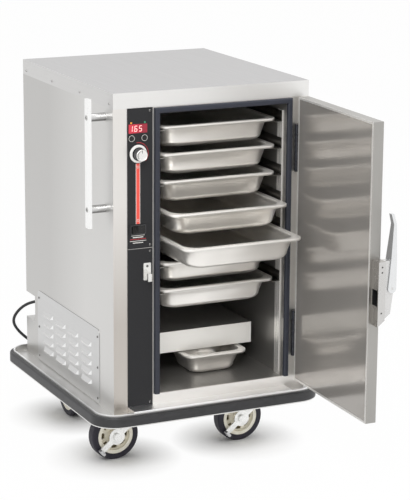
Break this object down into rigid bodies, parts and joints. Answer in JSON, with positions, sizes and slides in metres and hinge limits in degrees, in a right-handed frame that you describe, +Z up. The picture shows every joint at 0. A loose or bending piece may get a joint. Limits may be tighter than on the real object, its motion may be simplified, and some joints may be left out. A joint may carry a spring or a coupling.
{
  "type": "heated holding cabinet",
  "caption": "Mobile insulated holding cabinet that keeps pans of cooked food hot: hinged door with a pull latch, slides for pans, control column, water pan, bumper and casters.",
  "frame": {"origin": "floor point under the middle of the box round the cabinet with its door open as in the picture; the cord is left out of that box", "axes": "+X to the right seen from the front, +Y to the back, +Z up"},
  "size_m": [0.628, 1.311, 0.967],
  "materials": {
    "stainless_skin": "brushed",
    "stainless_front": "brushed",
    "stainless_door": "satin",
    "stainless_liner": "satin",
    "stainless_pan": "polished",
    "stainless_handle": "polished",
    "tray_metal": "satin",
    "bumper_vinyl": "matte",
    "black_panel": "textured",
    "gasket_silicone": "matte",
    "wool": "matte",
    "element_sheath": "matte",
    "circuit_board": "satin",
    "display_red": "gloss",
    "lamp_amber": "gloss",
    "button_black": "satin",
    "knob_grey": "satin",
    "hinge_steel": "satin",
    "latch_chrome": "satin",
    "screw_steel": "satin",
    "caster_zinc": "plated",
    "hub_cream": "satin",
    "tyre_dark": "matte",
    "cord_black": "satin"
  },
  "bodies": {
    "cabinet": {"base_tray": "tray_metal", "bumper": "bumper_vinyl", "left_side_panel": "stainless_skin", "right_side_panel": "stainless_skin", "rear_panel": "stainless_skin", "top_cap": "stainless_skin", "front_frame": "stainless_front", "control_panel": "black_panel", "lower_panel": "black_panel", "liner": "stainless_liner", "insulation": "wool", "door_gasket": "gasket_silicone", "rack_uprights": "stainless_liner", "pan_slides": "stainless_liner", "heater_shroud": "stainless_liner", "heating_element": "element_sheath", "control_board": "circuit_board", "display_window": "display_red", "indicator_lamps": "lamp_amber", "vent_panel": "stainless_skin", "push_handle": "stainless_handle", "latch_strike": "latch_chrome", "hinge_frame_leaves": "hinge_steel", "screws": "screw_steel", "caster_plates": "caster_zinc", "rear_forks": "caster_zinc", "cord_gland": "cord_black", "cord_tube": "cord_black", "cord_coil": "cord_black", "cord_plug": "cord_black"},
    "door": {"door_outer_skin": "stainless_door", "door_inner_skin": "stainless_door", "door_core": "wool", "hinge_door_leaves": "hinge_steel", "latch_body": "latch_chrome"},
    "latch_lever": {"latch_lever": "latch_chrome"},
    "button_left": {"button_left": "button_black"},
    "button_right": {"button_right": "button_black"},
    "control_knob": {"control_knob": "knob_grey"},
    "switch_rocker": {"switch_rocker": "button_black"},
    "water_pan": {"water_pan": "stainless_pan"},
    "pan_1": {"pan_1": "stainless_pan"},
    "pan_2": {"pan_2": "stainless_pan"},
    "pan_3": {"pan_3": "stainless_pan"},
    "pan_4": {"pan_4": "stainless_pan"},
    "pan_5": {"pan_5": "stainless_pan"},
    "pan_6": {"pan_6": "stainless_pan"},
    "pan_7": {"pan_7": "stainless_pan"},
    "front_left_caster": {"front_left_fork": "caster_zinc"},
    "front_left_brake": {"front_left_brake": "caster_zinc"},
    "front_left_wheel": {"front_left_hub": "hub_cream", "front_left_tyre": "tyre_dark"},
    "rear_left_wheel": {"rear_left_hub": "hub_cream", "rear_left_tyre": "tyre_dark"},
    "front_right_caster": {"front_right_fork": "caster_zinc"},
    "front_right_brake": {"front_right_brake": "caster_zinc"},
    "front_right_wheel": {"front_right_hub": "hub_cream", "front_right_tyre": "tyre_dark"},
    "rear_right_wheel": {"rear_right_hub": "hub_cream", "rear_right_tyre": "tyre_dark"}
  },
  "joints": [
    {"name": "door_hinge", "type": "hinge", "parent": "cabinet", "child": "door", "pos_m": [0.243, -0.11298, 0.557], "axis": [0, 0, 1], "range_deg": [-88.5, 21.5]},
    {"name": "latch_lever_pull", "type": "hinge", "parent": "door", "child": "latch_lever", "pos_m": [0.27878, -0.52305, 0.531], "axis": [0.0262, 0.9997, 0], "range_deg": [0, 35], "stiffness_Nm_per_rad": 1, "springref_deg": -20.05},
    {"name": "knob_turn", "type": "hinge", "parent": "cabinet", "child": "control_knob", "pos_m": [-0.1895, -0.10498, 0.816], "axis": [0, -1, 0], "range_deg": [-135, 135]},
    {"name": "rocker_tilt", "type": "hinge", "parent": "cabinet", "child": "switch_rocker", "pos_m": [-0.1895, -0.10508, 0.627], "axis": [0, 0, 1], "range_deg": [-14, 0]},
    {"name": "button_left_press", "type": "slide", "parent": "cabinet", "child": "button_left", "axis": [0, 1, 0], "range_m": [0, 0.0012], "stiffness_N_per_m": 400},
    {"name": "button_right_press", "type": "slide", "parent": "cabinet", "child": "button_right", "axis": [0, 1, 0], "range_m": [0, 0.0012], "stiffness_N_per_m": 400},
    {"name": "pan_1_slide", "type": "slide", "parent": "cabinet", "child": "pan_1", "axis": [0, -1, 0], "range_m": [0, 0.4]},
    {"name": "pan_2_slide", "type": "slide", "parent": "cabinet", "child": "pan_2", "axis": [0, -1, 0], "range_m": [0, 0.4]},
    {"name": "pan_3_slide", "type": "slide", "parent": "cabinet", "child": "pan_3", "axis": [0, -1, 0], "range_m": [0, 0.4]},
    {"name": "pan_6_slide", "type": "slide", "parent": "cabinet", "child": "pan_6", "axis": [0, -1, 0], "range_m": [0, 0.4]},
    {"name": "pan_7_slide", "type": "slide", "parent": "cabinet", "child": "pan_7", "axis": [0, -1, 0], "range_m": [0, 0.4]},
    {"name": "pan_4_slide", "type": "slide", "parent": "cabinet", "child": "pan_4", "axis": [0, -1, 0], "range_m": [-0.0722, 0.018]},
    {"name": "pan_5_slide", "type": "slide", "parent": "cabinet", "child": "pan_5", "axis": [0, -1, 0], "range_m": [-0.1502, 0.0369]},
    {"name": "water_pan_slide", "type": "slide", "parent": "cabinet", "child": "water_pan", "axis": [0, -1, 0], "range_m": [0, 0.2]},
    {"name": "front_left_swivel", "type": "hinge", "parent": "cabinet", "child": "front_left_caster", "pos_m": [-0.165, 0.01502, 0.14], "axis": [0, 0, 1], "continuous": true},
    {"name": "front_left_roll", "type": "hinge", "parent": "front_left_caster", "child": "front_left_wheel", "pos_m": [-0.207, 0.01502, 0.0635], "axis": [0, 1, 0], "continuous": true},
    {"name": "front_left_brake_press", "type": "hinge", "parent": "front_left_caster", "child": "front_left_brake", "pos_m": [-0.207, 0.01502, 0.0635], "axis": [0, 1, 0], "range_deg": [0, 20]},
    {"name": "rear_left_roll", "type": "hinge", "parent": "cabinet", "child": "rear_left_wheel", "pos_m": [-0.174, 0.38202, 0.0635], "axis": [1, 0, 0], "continuous": true},
    {"name": "front_right_swivel", "type": "hinge", "parent": "cabinet", "child": "front_right_caster", "pos_m": [0.191, 0.01502, 0.14], "axis": [0, 0, 1], "continuous": true},
    {"name": "front_right_roll", "type": "hinge", "parent": "front_right_caster", "child": "front_right_wheel", "pos_m": [0.149, 0.01502, 0.0635], "axis": [0, 1, 0], "continuous": true},
    {"name": "front_right_brake_press", "type": "hinge", "parent": "front_right_caster", "child": "front_right_brake", "pos_m": [0.149, 0.01502, 0.0635], "axis": [0, 1, 0], "range_deg": [0, 20]},
    {"name": "rear_right_roll", "type": "hinge", "parent": "cabinet", "child": "rear_right_wheel", "pos_m": [0.2, 0.38202, 0.0635], "axis": [1, 0, 0], "continuous": true}
  ],
  "couplings": [
    {"joint": "pan_4_slide", "follows": "door_hinge", "m_per_rad": 0.046614},
    {"joint": "pan_5_slide", "follows": "door_hinge", "m_per_rad": 0.097111}
  ]
}
